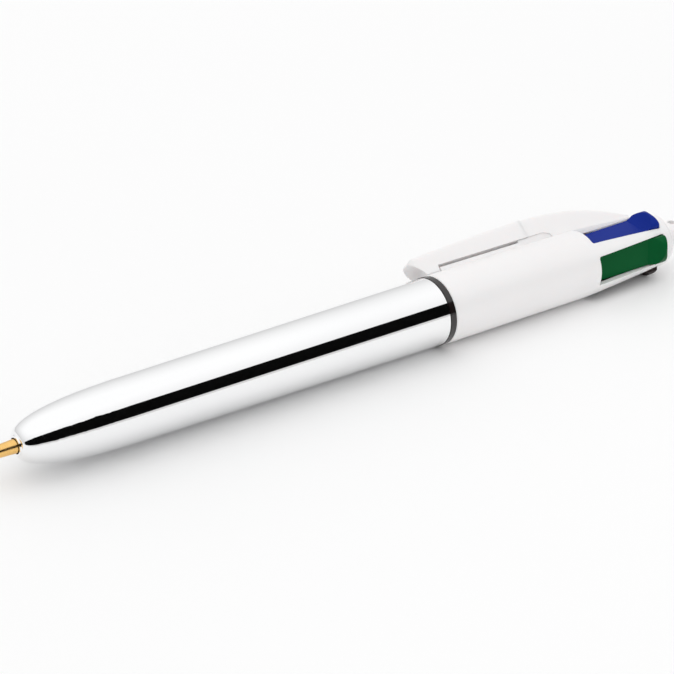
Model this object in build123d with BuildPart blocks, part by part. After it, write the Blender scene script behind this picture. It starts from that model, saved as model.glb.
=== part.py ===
"""Multicolor click pen: a plated lower barrel, a moulded upper barrel with a clip,
and four refills, each worked by its own sprung slider.

Stations are distances in millimetres along the pen's axis, from the nose mouth (0)
towards the rear. The pen lies on its side: the axis runs along X, the nose points to -X.
"""
import os
from math import asin, atan2, cos, radians, sin, sqrt

from build123d import *

# Row frame: the origin is under the middle of the pen, on the surface that it lies on.
AXIS_HEIGHT = 6.35
AXIS_SIDE = -1.798

# Where the clip and the sliders stand round the axis, in degrees from +Y towards +Z.
CLIP_TURN = 36.0
CLIP_TO_NEAR_SLIDER = 59.5
CLIP_TO_FAR_SLIDER = 138.0
SLIDER_TURNS = {
    "red": CLIP_TURN - CLIP_TO_NEAR_SLIDER,
    "blue": CLIP_TURN + CLIP_TO_NEAR_SLIDER,
    "green": CLIP_TURN + CLIP_TO_FAR_SLIDER,
    "black": CLIP_TURN - CLIP_TO_FAR_SLIDER,
}
CLIP_SIDES = {"red": 1, "blue": -1}
FORWARD_COLOUR = "red"

# Stations along the axis.
LOWER_END = 84.0
RING_WIDTH = 1.2
UPPER_START = LOWER_END + RING_WIDTH
SPIGOT_START = 76.0
UPPER_END = 139.2
WINDOW_START = 119.8
WINDOW_END = 137.4

# Lower barrel.
MOUTH_R = 1.38
MOUTH_RIM_R = 1.8
NOSE_END = 19.0
NOSE_END_R = 5.65
LOWER_REAR_R = 6.22
LOWER_BORE_R = 4.55
SOCKET_R = 5.10

# Joint ring and the spigot that the lower barrel turns on.
RUNNING_FIT = 0.05
RING_R = 6.28
SPIGOT_R = SOCKET_R - RUNNING_FIT
SPIGOT_BORE_R = 4.45

# Upper barrel.
UPPER_R = 6.35
UPPER_REAR_R = 5.04
UPPER_BORE_R = 5.15
REAR_BORE_R = 4.35
TAPER_START = 117.0
BORE_TAPER_START = 121.0
BORE_TAPER_END = 137.0
WINDOW_HALF_WIDTH = 2.8
WINDOW_CORNER_R = 0.45
SCOOP_R = 4.35
SCOOP_SLOPE = 0.9

# Clip.
CLIP_HALF_WIDTH = 2.0
CLIP_TOP = 11.15
CLIP_UNDERSIDE = 7.35
CLIP_FRONT = 84.2
FOOT_FRONT = 86.9
FOOT_REAR = 89.5
FOOT_GAP = 0.06
FOOT_BEND_R = 1.6
CLIP_SEAM = 111.0
FIN_END = 135.0
CLIP_EDGE_R = 0.55
FIN_TOP_MIN = 7.6
LENGTHWISE_SHARE = 0.7
RAIL_START = 89.6
RAIL_END = 109.3
RAIL_TOP = 6.75
WEB_HALF_WIDTH = 1.75
WEB_START = 108.5
POCKET_END = 116.3

# Refills. Each is a straight rod that leans in from its slider to the mouth.
TRAVEL = 10.0
REFILL_LENGTH = 104.0
PIVOT_STATION = 109.0
PIVOT_R = 3.20
RETRACTED_TIP_R = 2.60
TUBE_R = 1.15
TUBE_BORE_R = 0.80
TUBE_END_GAP = 0.1
TIP_R = 1.20
TIP_NOSE_R = 1.05
BALL_R = 0.50
SEAT_RIM_STATION = 0.35
SEAT_RIM_WIDTH = 0.07
CONE_END = 1.6
TAPER_END = 4.8
TIP_LENGTH = 14.0
SPIGOT_IN_TUBE = 3.0
SEAT_CLEARANCE = 0.01

# Sliders.
PAD_TOP = 4.20
PAD_FRONT_TOP = 3.85
PAD_BOTTOM = 3.45
PAD_HALF_WIDTH = 2.62
KEEL_BOTTOM = 2.00
KEEL_HALF_WIDTH = 1.20
SLIDER_REAR = 137.1
SHOULDER_R = 1.75
SHOULDER_LENGTH = 1.4
PIN_R = 0.50
PIN_LENGTH = 2.1
BUMP_START = 133.6
BUMP_CREST = 136.5
BUMP_TOP = 6.40
BUMP_CROWN_R = 3.2
BUMP_REAR_R = 5.35

# Springs, the plate that they push against, and the core that the sliders ride on.
PLATE_START = 88.0
PLATE_END = 90.0
PLATE_SLOT_R = 1.30
PLATE_SLOT_MIDDLE = 2.95
PLATE_SLOT_REACH = 0.35
SPRING_R = 1.65
WIRE_R = 0.15
SPRING_TURNS = 10
CORE_R = 1.75
CORE_START = 112.0
CORE_FLANGE_START = 137.6
CORE_FLANGE_END = 138.5

# End cap.
CAP_FLANGE_END = 140.1
CAP_FLANGE_R = 4.75
CAP_NECK_R = 1.7
CAP_NECK_STATION = 141.5
CAP_BALL_R = 2.6
CAP_BALL_STATION = 143.6
LANYARD_R = 0.75

FRONT_END = PIVOT_STATION - TRAVEL - REFILL_LENGTH
REAR_END = CAP_BALL_STATION + CAP_BALL_R
MIDDLE = (FRONT_END + REAR_END) / 2


def point(station, radius=0.0, turn=0.0):
    """A point at a station and a distance from the axis, in the row frame."""
    across = radius * cos(radians(turn))
    up = radius * sin(radians(turn))
    return Vector(station - MIDDLE, AXIS_SIDE + across, AXIS_HEIGHT + up)


def lengthwise(turn=0.0):
    """The plane through the axis: x is the station, y the distance from the axis."""
    normal = (0, -sin(radians(turn)), cos(radians(turn)))
    return Plane(origin=point(0), x_dir=(1, 0, 0), z_dir=normal)


def crosswise(station, turn=0.0):
    """The section at a station: x points away from the axis at the turn, y round it."""
    outward = (0, cos(radians(turn)), sin(radians(turn)))
    return Plane(origin=point(station), x_dir=outward, z_dir=(1, 0, 0))


def side_edges(block, nearest, least):
    """The lengthwise edges of the clip's two sides whose middles lie behind and beyond."""
    frame = lengthwise(CLIP_TURN)
    chosen = []
    for edge in block.edges():
        middle = frame.to_local_coords(edge @ 0.5)
        on_side = abs(middle.Z) > CLIP_HALF_WIDTH - 0.01
        along_pen = abs((edge % 0.5).X) > LENGTHWISE_SHARE
        if on_side and along_pen and middle.X > nearest and middle.Y > least:
            chosen.append(edge)
    return chosen


PEN_AXIS = Axis(point(0), (1, 0, 0))

parts = {}


def finish(name, part):
    part.label = name
    parts[name] = part


# Lower barrel: a plated shell with a blunt ogive nose and a slow taper.
with BuildPart() as lower_barrel:
    with BuildSketch(lengthwise()):
        with BuildLine():
            nose = Bezier(
                (0.25, MOUTH_RIM_R), (0.30, 2.9), (2.6, 5.35), (NOSE_END, NOSE_END_R),
            )
            Line(nose @ 1, (LOWER_END - 0.2, LOWER_REAR_R))
            Line((LOWER_END - 0.2, LOWER_REAR_R), (LOWER_END, LOWER_REAR_R - 0.15))
            Polyline(
                (LOWER_END, LOWER_REAR_R - 0.15),
                (LOWER_END, SOCKET_R),
                (SPIGOT_START - 0.5, SOCKET_R),
                (SPIGOT_START - 0.5, LOWER_BORE_R),
                (20.0, LOWER_BORE_R),
                (12.0, 4.20),
                (6.5, 3.80),
                (4.0, 3.05),
                (0.6, MOUTH_R),
                (0.0, MOUTH_R),
                (0.0, MOUTH_RIM_R - 0.15),
                (0.25, MOUTH_RIM_R),
            )
        make_face()
    revolve(axis=PEN_AXIS)
finish("lower_barrel", lower_barrel.part)

# Joint ring: a loose dark band round the spigot, between the two barrels.
with BuildPart() as joint_ring:
    with BuildSketch(crosswise(LOWER_END)):
        Circle(RING_R)
        Circle(SPIGOT_R + RUNNING_FIT, mode=Mode.SUBTRACT)
    extrude(amount=RING_WIDTH)
    chamfer(joint_ring.faces().sort_by(Axis.X)[-1].outer_wire().edges(), 0.08)
finish("joint_ring", joint_ring.part)

# Clip fin: the root of the clip, moulded in one with the upper barrel.
with BuildPart() as fin:
    with BuildSketch(lengthwise(CLIP_TURN)):
        with BuildLine():
            crest = Spline(
                (CLIP_SEAM, CLIP_TOP), (117.6, 10.90), (126.2, 9.45), (FIN_END, 5.85),
                tangents=[(1.0, 0.0), (1.0, -0.5)],
            )
            Polyline(
                crest @ 1,
                (FIN_END, 4.9),
                (CLIP_SEAM + 8, 5.4),
                (CLIP_SEAM, 5.4),
                (CLIP_SEAM, CLIP_TOP),
            )
        make_face()
    extrude(amount=CLIP_HALF_WIDTH, both=True)
    fillet(side_edges(fin, CLIP_SEAM, FIN_TOP_MIN), CLIP_EDGE_R)

# Side pockets of the fin, which make its foot narrower behind the end of the clip's gap.
with BuildPart() as pockets:
    with BuildSketch(lengthwise(CLIP_TURN)):
        Polygon(
            (CLIP_SEAM - 3, 5.6),
            (CLIP_SEAM - 3, CLIP_UNDERSIDE),
            (POCKET_END - 1.7, CLIP_UNDERSIDE),
            (POCKET_END - 0.5, 6.85),
            (POCKET_END, 5.9),
            (POCKET_END, 5.6),
            align=None,
        )
    extrude(amount=CLIP_HALF_WIDTH + 0.5, both=True)
    with BuildSketch(lengthwise(CLIP_TURN)):
        Polygon(
            (CLIP_SEAM - 4, 5.0), (CLIP_SEAM - 4, 8.0), (POCKET_END + 1, 8.0), (POCKET_END + 1, 5.0),
            align=None,
        )
    extrude(amount=WEB_HALF_WIDTH, both=True, mode=Mode.SUBTRACT)

# Upper barrel: the shell, its spigot, four windows, and the fin that the clip grows from.
with BuildPart() as upper_barrel:
    with BuildSketch(lengthwise()):
        with BuildLine():
            Polyline(
                (UPPER_END, REAR_BORE_R),
                (BORE_TAPER_END, REAR_BORE_R),
                (BORE_TAPER_START, UPPER_BORE_R),
                (UPPER_START + 1.5, UPPER_BORE_R),
                (UPPER_START + 1.5, SPIGOT_BORE_R),
                (SPIGOT_START, SPIGOT_BORE_R),
                (SPIGOT_START, SPIGOT_R),
                (UPPER_START, SPIGOT_R),
                (UPPER_START, UPPER_R - 0.1),
                (UPPER_START + 0.1, UPPER_R),
                (TAPER_START, UPPER_R),
            )
            taper = Spline(
                (TAPER_START, UPPER_R), (121.5, 6.22), (128.0, 5.82), (134.4, 5.38),
                (UPPER_END - 0.3, UPPER_REAR_R),
                tangents=[(1.0, 0.0), (1.0, -0.06)],
            )
            Line(taper @ 1, (UPPER_END, UPPER_REAR_R - 0.25))
            Line((UPPER_END, UPPER_REAR_R - 0.25), (UPPER_END, REAR_BORE_R))
        make_face()
    revolve(axis=PEN_AXIS)
    add(fin.part)
    add(pockets.part, mode=Mode.SUBTRACT)
    with BuildSketch(lengthwise(CLIP_TURN)):
        Polygon(
            (WEB_START, 5.4),
            (WEB_START, CLIP_UNDERSIDE - FOOT_GAP),
            (CLIP_SEAM + 1, CLIP_UNDERSIDE - FOOT_GAP),
            (CLIP_SEAM + 1, 5.4),
            align=None,
        )
    extrude(amount=WEB_HALF_WIDTH, both=True)
    with BuildSketch(lengthwise(CLIP_TURN)):
        Polygon(
            (RAIL_START, 5.4),
            (RAIL_START, RAIL_TOP),
            (RAIL_END - 1.0, RAIL_TOP),
            (RAIL_END - 0.3, RAIL_TOP - 0.35),
            (RAIL_END, 5.9),
            (RAIL_END, 5.4),
            align=None,
        )
    extrude(amount=CLIP_HALF_WIDTH, both=True)
    for turn in SLIDER_TURNS.values():
        outward = (0, cos(radians(turn)), sin(radians(turn)))
        middle = point((WINDOW_START + WINDOW_END) / 2, PAD_BOTTOM, turn)
        with BuildSketch(Plane(origin=middle, x_dir=(1, 0, 0), z_dir=outward)):
            RectangleRounded(WINDOW_END - WINDOW_START, 2 * WINDOW_HALF_WIDTH, WINDOW_CORNER_R)
        extrude(amount=UPPER_R - PAD_BOTTOM + 1, mode=Mode.SUBTRACT)
    for colour, side in CLIP_SIDES.items():
        with BuildSketch(crosswise(WINDOW_START + WINDOW_CORNER_R, SLIDER_TURNS[colour])):
            Polygon(
                (SCOOP_R, side * (WINDOW_HALF_WIDTH - 0.5)),
                (SCOOP_R, side * WINDOW_HALF_WIDTH),
                (UPPER_R + 1, side * (WINDOW_HALF_WIDTH + SCOOP_SLOPE * (UPPER_R + 1 - SCOOP_R))),
                (UPPER_R + 1, side * (WINDOW_HALF_WIDTH - 0.5)),
                align=None,
            )
        extrude(amount=WINDOW_END - WINDOW_START - 2 * WINDOW_CORNER_R, mode=Mode.SUBTRACT)
finish("upper_barrel", upper_barrel.part)

# Clip: the springy arm, with a rounded foot that nearly touches the barrel at its free end.
with BuildPart() as clip:
    with BuildSketch(lengthwise(CLIP_TURN)):
        with BuildLine():
            back = Spline(
                (CLIP_FRONT + 0.7, 10.05), (97.7, 10.80), (CLIP_SEAM, CLIP_TOP),
                tangents=[(1.0, 0.085), (1.0, 0.0)],
            )
            Polyline(
                back @ 0,
                (CLIP_FRONT, 9.45),
                (FOOT_FRONT, UPPER_R - 0.8),
                (FOOT_REAR - 0.3, UPPER_R - 0.8),
                (FOOT_REAR, CLIP_UNDERSIDE),
                (CLIP_SEAM, CLIP_UNDERSIDE),
                (CLIP_SEAM, CLIP_TOP),
            )
        make_face()
    extrude(amount=CLIP_HALF_WIDTH, both=True)
    fillet(side_edges(clip, CLIP_FRONT + 1, FIN_TOP_MIN), CLIP_EDGE_R)
    outward = (0, cos(radians(CLIP_TURN)), sin(radians(CLIP_TURN)))
    with BuildSketch(Plane(origin=point(CLIP_SEAM), x_dir=(1, 0, 0), z_dir=outward)):
        RectangleRounded(2 * (CLIP_SEAM - CLIP_FRONT), 2 * CLIP_HALF_WIDTH, FOOT_BEND_R)
    extrude(amount=CLIP_TOP + 1, mode=Mode.INTERSECT)
    with BuildSketch(crosswise(CLIP_FRONT - 1)):
        Circle(UPPER_R + FOOT_GAP)
    extrude(amount=FOOT_REAR - CLIP_FRONT + 2, mode=Mode.SUBTRACT)
finish("clip", clip.part)

# Spring plate: a disc in the upper barrel that the refills pass and the springs push on.
with BuildPart() as spring_plate:
    with BuildSketch(crosswise(PLATE_START)):
        Circle(UPPER_BORE_R - RUNNING_FIT)
        Circle(PLATE_SLOT_R / 2, mode=Mode.SUBTRACT)
    extrude(amount=PLATE_END - PLATE_START)
    for turn in SLIDER_TURNS.values():
        with BuildSketch(crosswise(PLATE_START, turn)):
            with Locations((PLATE_SLOT_MIDDLE, 0)):
                SlotCenterToCenter(2 * PLATE_SLOT_REACH, 2 * PLATE_SLOT_R)
        extrude(amount=PLATE_END - PLATE_START, mode=Mode.SUBTRACT)
finish("spring_plate", spring_plate.part)

# Guide core: the rod between the sliders, with a flange that closes the barrel's bore.
with BuildPart() as guide_core:
    with BuildSketch(crosswise(CORE_START)):
        Circle(CORE_R)
    extrude(amount=CORE_FLANGE_START - CORE_START)
    with BuildSketch(crosswise(CORE_FLANGE_START)):
        Circle(REAR_BORE_R - RUNNING_FIT)
    extrude(amount=CORE_FLANGE_END - CORE_FLANGE_START)
    chamfer(guide_core.faces().sort_by(Axis.X)[0].edges(), 0.5)
finish("guide_core", guide_core.part)

# End cap: a plug, a flange and a ball, with a lanyard hole through the ball.
with BuildPart() as end_cap:
    with BuildSketch(lengthwise()):
        with BuildLine():
            Polyline(
                (CAP_NECK_STATION, 0.0),
                (CORE_FLANGE_END, 0.0),
                (CORE_FLANGE_END, REAR_BORE_R - RUNNING_FIT),
                (UPPER_END, REAR_BORE_R - RUNNING_FIT),
                (UPPER_END, CAP_FLANGE_R - 0.2),
                (UPPER_END + 0.2, CAP_FLANGE_R),
                (CAP_FLANGE_END - 0.4, CAP_FLANGE_R),
            )
            dome = Spline(
                (CAP_FLANGE_END - 0.4, CAP_FLANGE_R), (CAP_FLANGE_END + 0.55, 3.4),
                (CAP_NECK_STATION, CAP_NECK_R),
                tangents=[(0.35, -0.3), (0.8, -0.6)],
            )
            Line(dome @ 1, (CAP_NECK_STATION, 0.0))
        make_face()
    revolve(axis=PEN_AXIS)
    with Locations(point(CAP_BALL_STATION)):
        Sphere(CAP_BALL_R)
    with BuildSketch(Plane(origin=point(CAP_BALL_STATION), z_dir=(0, 0, 1))):
        Circle(LANYARD_R)
    extrude(amount=CAP_BALL_R, both=True, mode=Mode.SUBTRACT)
finish("end_cap", end_cap.part)


def refill_plane(turn, advance):
    """The plane of a refill: x runs back from the ball's front along the refill."""
    pivot = point(PIVOT_STATION - advance, PIVOT_R, turn)
    if advance > 0:
        lean = atan2(PIVOT_R, PIVOT_STATION - advance)
    else:
        lean = asin((PIVOT_R - RETRACTED_TIP_R) / REFILL_LENGTH)
    back = Vector(cos(lean), sin(lean) * cos(radians(turn)), sin(lean) * sin(radians(turn)))
    normal = Vector(0, -sin(radians(turn)), cos(radians(turn)))
    return Plane(origin=pivot - back * REFILL_LENGTH, x_dir=back, z_dir=normal)


def refill_tube(plane):
    """The plastic ink tube, between the brass tip and the slider's pin."""
    with BuildPart() as tube:
        with BuildSketch(plane):
            with Locations(((TIP_LENGTH + REFILL_LENGTH - TUBE_END_GAP) / 2, (TUBE_R + TUBE_BORE_R) / 2)):
                Rectangle(REFILL_LENGTH - TUBE_END_GAP - TIP_LENGTH, TUBE_R - TUBE_BORE_R)
        revolve(axis=Axis(plane.origin, plane.x_dir))
    return tube.part


def refill_tip(plane):
    """The brass tip: a cone with the ball's seat, a shank, and a spigot in the tube."""
    seat_r = BALL_R + SEAT_CLEARANCE
    mouth_r = sqrt(seat_r**2 - (BALL_R - SEAT_RIM_STATION) ** 2)
    spigot_r = TUBE_BORE_R - SEAT_CLEARANCE
    with BuildPart() as tip:
        with BuildSketch(plane):
            with BuildLine():
                Polyline(
                    (SEAT_RIM_STATION, mouth_r),
                    (SEAT_RIM_STATION, mouth_r + SEAT_RIM_WIDTH),
                    (CONE_END, TIP_NOSE_R),
                    (TAPER_END, TIP_R),
                    (TIP_LENGTH, TIP_R),
                    (TIP_LENGTH, spigot_r),
                    (TIP_LENGTH + SPIGOT_IN_TUBE, spigot_r),
                    (TIP_LENGTH + SPIGOT_IN_TUBE, 0),
                    (BALL_R + seat_r, 0),
                )
                ThreePointArc((BALL_R + seat_r, 0), (BALL_R, seat_r), (SEAT_RIM_STATION, mouth_r))
            make_face()
        revolve(axis=Axis(plane.origin, plane.x_dir))
    return tip.part


def writing_ball(plane):
    """The ball in the tip's mouth."""
    with BuildPart() as ball:
        with Locations(plane.origin + plane.x_dir * BALL_R):
            Sphere(BALL_R)
    return ball.part


def thumb_catch(turn, shift):
    """The raised catch at a slider's rear, with a crown across its width."""
    with BuildPart() as catch:
        with BuildSketch(lengthwise(turn)):
            with BuildLine():
                foot = Line((BUMP_START + shift, PAD_TOP - 0.3), (BUMP_START + shift, PAD_TOP))
                rise = Spline(
                    foot @ 1, (BUMP_CREST + shift, BUMP_TOP),
                    (SLIDER_REAR + shift, BUMP_REAR_R),
                    tangents=[(1.0, 0.55), (0.25, -1.0)],
                )
                Polyline(
                    rise @ 1,
                    (SLIDER_REAR + shift, PAD_TOP - 0.3),
                    (BUMP_START + shift, PAD_TOP - 0.3),
                )
            make_face()
        extrude(amount=PAD_HALF_WIDTH, both=True)
        with BuildSketch(crosswise(BUMP_START + shift - 1, turn)):
            with Locations((BUMP_TOP - BUMP_CROWN_R, 0)):
                Circle(BUMP_CROWN_R)
        extrude(amount=SLIDER_REAR - BUMP_START + 2, mode=Mode.INTERSECT)
    return catch.part


def slider(turn, advance):
    """A thumb slider: the pad, its keel and thumb catch, the shoulder and the refill pin."""
    front = PIVOT_STATION - advance
    catch = thumb_catch(turn, -advance)
    with BuildPart() as body:
        with BuildSketch(crosswise(front + SHOULDER_LENGTH, turn)):
            with BuildLine():
                Polyline(
                    (PAD_TOP, PAD_HALF_WIDTH),
                    (PAD_BOTTOM, PAD_HALF_WIDTH),
                    (KEEL_BOTTOM, KEEL_HALF_WIDTH),
                    (KEEL_BOTTOM, -KEEL_HALF_WIDTH),
                    (PAD_BOTTOM, -PAD_HALF_WIDTH),
                    (PAD_TOP, -PAD_HALF_WIDTH),
                    close=True,
                )
            make_face()
        extrude(amount=SLIDER_REAR - PIVOT_STATION - SHOULDER_LENGTH)
        with BuildSketch(lengthwise(turn)):
            Polygon(
                (front, PAD_FRONT_TOP),
                (front, PAD_TOP + 1),
                (BUMP_START - advance, PAD_TOP + 1),
                (BUMP_START - advance, PAD_TOP),
                align=None,
            )
        extrude(amount=PAD_HALF_WIDTH + 1, both=True, mode=Mode.SUBTRACT)
        add(catch)
        with BuildSketch(crosswise(front, turn)):
            with Locations((PIVOT_R, 0)):
                Circle(SHOULDER_R)
        extrude(amount=SHOULDER_LENGTH)
        with BuildSketch(crosswise(front - PIN_LENGTH, turn)):
            with Locations((PIVOT_R, 0)):
                Circle(PIN_R)
        extrude(amount=PIN_LENGTH)
    return body.part


def spring(turn, advance):
    """A compression spring between the plate and a slider's shoulder."""
    free = PIVOT_STATION - advance - PLATE_END - 2 * WIRE_R
    start = point(PLATE_END + WIRE_R, PIVOT_R, turn)
    with BuildPart() as coil:
        with BuildLine() as path:
            Helix(free / SPRING_TURNS, free, SPRING_R, center=start, direction=(1, 0, 0))
        with BuildSketch(Plane(origin=path.line @ 0, z_dir=path.line % 0)):
            Circle(WIRE_R)
        sweep(is_frenet=True)
    return coil.part


for colour, slider_turn in SLIDER_TURNS.items():
    moved = TRAVEL if colour == FORWARD_COLOUR else 0.0
    rod = refill_plane(slider_turn, moved)
    finish(f"{colour}_slider", slider(slider_turn, moved))
    finish(f"{colour}_spring", spring(slider_turn, moved))
    finish(f"{colour}_refill_tube", refill_tube(rod))
    finish(f"{colour}_refill_tip", refill_tip(rod))
    finish(f"{colour}_writing_ball", writing_ball(rod))

os.makedirs("parts", exist_ok=True)
for name, part in parts.items():
    export_step(part, f"parts/{name}.step")

retracted_lean = asin((PIVOT_R - RETRACTED_TIP_R) / REFILL_LENGTH)
extended_lean = atan2(PIVOT_R, PIVOT_STATION - TRAVEL)
print("refill lean per metre of travel", 1000 * (extended_lean - retracted_lean) / TRAVEL)
print("lanyard wall length", 2 * sqrt(CAP_BALL_R**2 - LANYARD_R**2))
for colour, slider_turn in SLIDER_TURNS.items():
    moved = TRAVEL if colour == FORWARD_COLOUR else 0.0
    print(colour, "turn", slider_turn, "pivot", point(PIVOT_STATION - moved, PIVOT_R, slider_turn))
print("clip hinge", point(CLIP_SEAM, CLIP_TOP, CLIP_TURN))
print("mouth", point(0), "ball centre", point(CAP_BALL_STATION))
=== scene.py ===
from math import cos, radians, sin

import bpy
from mathutils import Matrix, Vector


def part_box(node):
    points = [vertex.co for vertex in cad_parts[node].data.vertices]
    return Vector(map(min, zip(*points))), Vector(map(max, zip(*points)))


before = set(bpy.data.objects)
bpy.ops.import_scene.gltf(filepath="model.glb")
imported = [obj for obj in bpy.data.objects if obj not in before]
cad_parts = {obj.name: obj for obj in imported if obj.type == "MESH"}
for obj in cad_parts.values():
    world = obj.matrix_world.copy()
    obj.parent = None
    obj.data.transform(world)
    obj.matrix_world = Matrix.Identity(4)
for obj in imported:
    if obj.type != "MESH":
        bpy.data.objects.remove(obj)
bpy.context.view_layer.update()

MM = 0.001

# ---------------------------------------------------------------- the pen's own lines
lower_low, lower_high = map(Vector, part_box("lower_barrel"))
ring_low, ring_high = map(Vector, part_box("joint_ring"))
AXIS = Vector((0.0, (ring_low.y + ring_high.y) / 2, (ring_low.z + ring_high.z) / 2))
NOSE = lower_low.x


def turned(turn):
    """The unit vector away from the pen's axis at a turn from +Y towards +Z."""
    return Vector((0.0, cos(radians(turn)), sin(radians(turn))))


def at(station, radius=0.0, turn=0.0):
    """A point at a station behind the nose mouth, all in millimetres."""
    return Vector((NOSE + station * MM, 0, 0)) + AXIS + turned(turn) * radius * MM


# ---------------------------------------------------------------- materials
class Shader:
    """A node material with a Principled shader and helpers that wire its patterns."""

    def __init__(self, name, **values):
        self.material = bpy.data.materials.new(name)
        self.material.use_nodes = True
        self.tree = self.material.node_tree
        self.surface = self.tree.nodes["Principled BSDF"]
        for key, value in values.items():
            self.surface.inputs[key.replace("_", " ")].default_value = value
        self.place = self.add("ShaderNodeTexCoord").outputs["Object"]

    def add(self, kind, **settings):
        node = self.tree.nodes.new(kind)
        for key, value in settings.items():
            setattr(node, key, value)
        return node

    def link(self, start, end):
        self.tree.links.new(start, end)

    def stretched(self, scale):
        node = self.add("ShaderNodeMapping")
        node.inputs["Scale"].default_value = scale
        self.link(self.place, node.inputs["Vector"])
        return node.outputs["Vector"]

    def noise(self, scale, detail=3.0, stretch=None):
        node = self.add("ShaderNodeTexNoise")
        node.inputs["Scale"].default_value = scale
        node.inputs["Detail"].default_value = detail
        self.link(self.stretched(stretch) if stretch else self.place, node.inputs["Vector"])
        return node.outputs["Fac"]

    def ranged(self, value, low, high, start=0.0, end=1.0):
        node = self.add("ShaderNodeMapRange")
        node.inputs["From Min"].default_value = start
        node.inputs["From Max"].default_value = end
        node.inputs["To Min"].default_value = low
        node.inputs["To Max"].default_value = high
        self.link(value, node.inputs["Value"])
        return node.outputs["Result"]

    def ramp(self, value, stops):
        node = self.add("ShaderNodeValToRGB")
        elements = node.color_ramp.elements
        while len(elements) < len(stops):
            elements.new(0.5)
        for element, (place, colour) in zip(elements, stops):
            element.position = place
            element.color = (*colour, 1.0)
        self.link(value, node.inputs["Fac"])
        return node.outputs["Color"]

    def bump(self, height, strength, distance, before=None):
        node = self.add("ShaderNodeBump")
        node.inputs["Strength"].default_value = strength
        node.inputs["Distance"].default_value = distance
        self.link(height, node.inputs["Height"])
        if before is not None:
            self.link(before, node.inputs["Normal"])
        return node.outputs["Normal"]

    def colour(self, output):
        self.link(output, self.surface.inputs["Base Color"])

    def roughness(self, output):
        self.link(output, self.surface.inputs["Roughness"])

    def normal(self, output):
        self.link(output, self.surface.inputs["Normal"])


def shade(colour, factor):
    return tuple(min(1.0, c * factor) for c in colour)


def moulded(name, colour, spread=0.04, rough=0.28, grain=0.012, **values):
    """Gloss plastic: faint flow marks in the colour, soft unevenness in the gloss."""
    s = Shader(name, **values)
    flow = s.noise(90, 2, stretch=(0.35, 1.0, 1.0))
    s.colour(s.ramp(flow, [(0.3, shade(colour, 1 - spread)), (0.7, shade(colour, 1 + spread))]))
    s.roughness(s.ranged(s.noise(420, 3), rough - 0.05, rough + 0.06))
    sink = s.bump(s.noise(60, 1), 0.10, 0.0004)
    s.normal(s.bump(s.noise(2600, 2), grain, 0.0001, sink))
    return s.material


def plating():
    s = Shader("bright_plating", Metallic=1.0)
    haze = s.noise(55, 3, stretch=(0.3, 1.0, 1.0))
    s.colour(s.ramp(haze, [(0.25, (0.905, 0.908, 0.915)), (0.75, (0.945, 0.947, 0.950))]))
    fine = s.noise(900, 2, stretch=(0.2, 1.0, 1.0))
    s.roughness(s.ranged(fine, 0.030, 0.052))
    s.normal(s.bump(s.noise(38, 1, stretch=(0.25, 1.0, 1.0)), 0.02, 0.0002))
    return s.material


def turned_brass():
    s = Shader("turned_brass", Metallic=1.0)
    rings = s.noise(700, 2, stretch=(9.0, 0.05, 0.05))
    s.colour(s.ramp(rings, [(0.3, (0.86, 0.51, 0.16)), (0.7, (0.95, 0.61, 0.22))]))
    s.roughness(s.ranged(rings, 0.18, 0.30))
    s.normal(s.bump(rings, 0.10, 0.00004))
    return s.material


def steel(name, low, high, colour=(0.58, 0.58, 0.60)):
    s = Shader(name, Metallic=1.0)
    drawn = s.noise(800, 3)
    s.colour(s.ramp(drawn, [(0.3, shade(colour, 0.9)), (0.7, shade(colour, 1.08))]))
    s.roughness(s.ranged(drawn, low, high))
    return s.material


def ink_tube(name, colour):
    """A cloudy tube with the ink's colour showing through it."""
    s = Shader(name, IOR=1.49)
    cloud = s.noise(260, 3, stretch=(0.2, 1.0, 1.0))
    pale = tuple(0.35 + 0.5 * c for c in colour)
    s.colour(s.ramp(cloud, [(0.25, shade(pale, 0.85)), (0.8, shade(pale, 1.1))]))
    s.roughness(s.ranged(cloud, 0.22, 0.36))
    return s.material


INKS = {
    "red": (0.50, 0.006, 0.010),
    "blue": (0.006, 0.024, 0.255),
    "green": (0.0, 0.085, 0.021),
    "black": (0.016, 0.009, 0.009),
}
WHITE = moulded("white_moulding", (0.890, 0.872, 0.872), spread=0.012, rough=0.30, IOR=1.50,
                Subsurface_Weight=0.35, Subsurface_Scale=0.0012,
                Subsurface_Radius=(1.0, 0.85, 0.8))
RING = moulded("smoky_ring", (0.011, 0.007, 0.007), spread=0.3, rough=0.12, IOR=1.60)
INNER = moulded("natural_moulding", (0.72, 0.72, 0.69), rough=0.5)
finishes = {
    "lower_barrel": plating(),
    "joint_ring": RING,
    "upper_barrel": WHITE,
    "clip": WHITE,
    "end_cap": WHITE,
    "spring_plate": INNER,
    "guide_core": INNER,
}
BRASS = turned_brass()
WIRE = steel("spring_wire", 0.2, 0.36)
BALL = steel("ball_steel", 0.05, 0.12, (0.50, 0.50, 0.52))
for colour_name, ink in INKS.items():
    finishes[f"{colour_name}_slider"] = moulded(f"{colour_name}_moulding", ink, spread=0.10,
                                                rough=0.30, Specular_IOR_Level=0.06)
    finishes[f"{colour_name}_spring"] = WIRE
    finishes[f"{colour_name}_refill_tube"] = ink_tube(f"{colour_name}_ink", ink)
    finishes[f"{colour_name}_refill_tip"] = BRASS
    finishes[f"{colour_name}_writing_ball"] = BALL

for node, finish in finishes.items():
    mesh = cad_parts[node].data
    mesh.materials.clear()
    mesh.materials.append(finish)

# ---------------------------------------------------------------- studio
CAMERA_FIELD = 17.0          # degrees across the frame
NOSE_TILT = 32.98            # degrees that the nose points towards the camera
AXIS_SLOPE = 17.86           # degrees that the axis climbs across the frame
FACING_TURN = 147.0          # the turn of the pen's side that faces the camera
NOSE_OFFSET = Vector((-50.66, -17.15, -354.75)) * MM     # right, up and back of the camera

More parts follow.
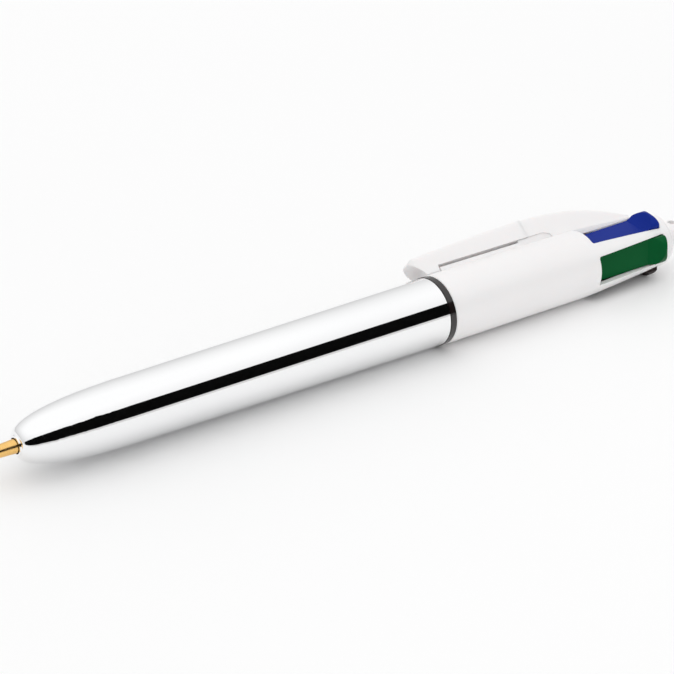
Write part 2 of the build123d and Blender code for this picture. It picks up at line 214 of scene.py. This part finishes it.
facing = turned(FACING_TURN)
above = turned(FACING_TURN - 90)
tilt, climb = radians(NOSE_TILT), radians(AXIS_SLOPE)
along = Vector((1, 0, 0))
right = along * cos(tilt) * cos(climb) + facing * sin(tilt) * cos(climb) - above * sin(climb)
upward = along * cos(tilt) * sin(climb) + facing * sin(tilt) * sin(climb) + above * cos(climb)
back = facing * cos(tilt) - along * sin(tilt)

camera_data = bpy.data.cameras.new("camera")
camera = bpy.data.objects.new("camera", camera_data)
bpy.context.collection.objects.link(camera)
camera_data.angle = radians(CAMERA_FIELD)
camera_data.clip_start = 0.01
camera_data.clip_end = 20
turn_to_world = Matrix((right, upward, back)).transposed()
camera_place = at(0) - turn_to_world @ NOSE_OFFSET
camera.matrix_world = Matrix.Translation(camera_place) @ turn_to_world.to_4x4()
bpy.context.scene.camera = camera


def flat_panel(name, corners, material):
    mesh = bpy.data.meshes.new(name)
    mesh.from_pydata([tuple(c) for c in corners], [], [tuple(range(len(corners)))])
    mesh.materials.append(material)
    panel = bpy.data.objects.new(name, mesh)
    bpy.context.collection.objects.link(panel)
    return panel


floor_shader = Shader("floor_paper", Roughness=0.9)
floor_shader.colour(floor_shader.ramp(floor_shader.noise(3, 2),
                                      [(0.3, (0.93, 0.93, 0.93)), (0.7, (0.95, 0.95, 0.95))]))
FLOOR_REACH = 4.0            # metres each way
floor_signs = ((-1, -1), (1, -1), (1, 1), (-1, 1))
floor_corners = [(FLOOR_REACH * x, FLOOR_REACH * y, 0) for x, y in floor_signs]
flat_panel("floor", floor_corners, floor_shader.material)

# A black card beside the camera, which only the plated shell's reflection shows.
CARD_LOW_TURN, CARD_HIGH_TURN = 174.5, 137.5
CARD_DISTANCE = 0.60
CARD_FRONT, CARD_REAR = -2.5, 2.5
card_shader = Shader("black_card", Roughness=1.0, Specular_IOR_Level=0.0)
card_shader.surface.inputs["Base Color"].default_value = (0.002, 0.002, 0.002, 1)
card_ends = (
    (CARD_FRONT, CARD_LOW_TURN), (CARD_REAR, CARD_LOW_TURN),
    (CARD_REAR, CARD_HIGH_TURN), (CARD_FRONT, CARD_HIGH_TURN),
)
card_corners = [AXIS + along * x + turned(turn) * CARD_DISTANCE for x, turn in card_ends]
card = flat_panel("black_card", card_corners, card_shader.material)
for kind in ("camera", "diffuse", "transmission", "shadow", "volume_scatter"):
    setattr(card, f"visible_{kind}", False)


def softbox(name, place, aim, size, power):
    data = bpy.data.lights.new(name, "AREA")
    data.shape = "RECTANGLE"
    data.size, data.size_y = size
    data.energy = power
    light = bpy.data.objects.new(name, data)
    light.location = place
    light.rotation_euler = (Vector(aim) - Vector(place)).to_track_quat("-Z", "Y").to_euler()
    bpy.context.collection.objects.link(light)
    return light


OVERHEAD_PLACE = (0.1, 0.15, 1.4)
OVERHEAD_SIZE = (1.8, 1.4)
OVERHEAD_POWER = 2.0
overhead = softbox("overhead", OVERHEAD_PLACE, (0, 0, 0), OVERHEAD_SIZE, OVERHEAD_POWER)
overhead.visible_glossy = False

# The room's light grows with height, from the horizon to a full glow overhead.
HORIZON_GLOW, ZENITH_GLOW = 0.66, 1.08
ZENITH_START = 0.86
world = bpy.data.worlds.new("studio")
bpy.context.scene.world = world
world.use_nodes = True
sky = world.node_tree
direction = sky.nodes.new("ShaderNodeTexCoord")
parts_of = sky.nodes.new("ShaderNodeSeparateXYZ")
glow = sky.nodes.new("ShaderNodeMapRange")
glow.inputs["From Max"].default_value = ZENITH_START
glow.inputs["To Min"].default_value = HORIZON_GLOW
glow.inputs["To Max"].default_value = ZENITH_GLOW
sky.links.new(direction.outputs["Generated"], parts_of.inputs["Vector"])
sky.links.new(parts_of.outputs["Z"], glow.inputs["Value"])
sky.links.new(glow.outputs["Result"], sky.nodes["Background"].inputs["Strength"])
sky.nodes["Background"].inputs["Color"].default_value = (1.0, 1.0, 1.0, 1)
bpy.context.scene.view_settings.view_transform = "Standard"
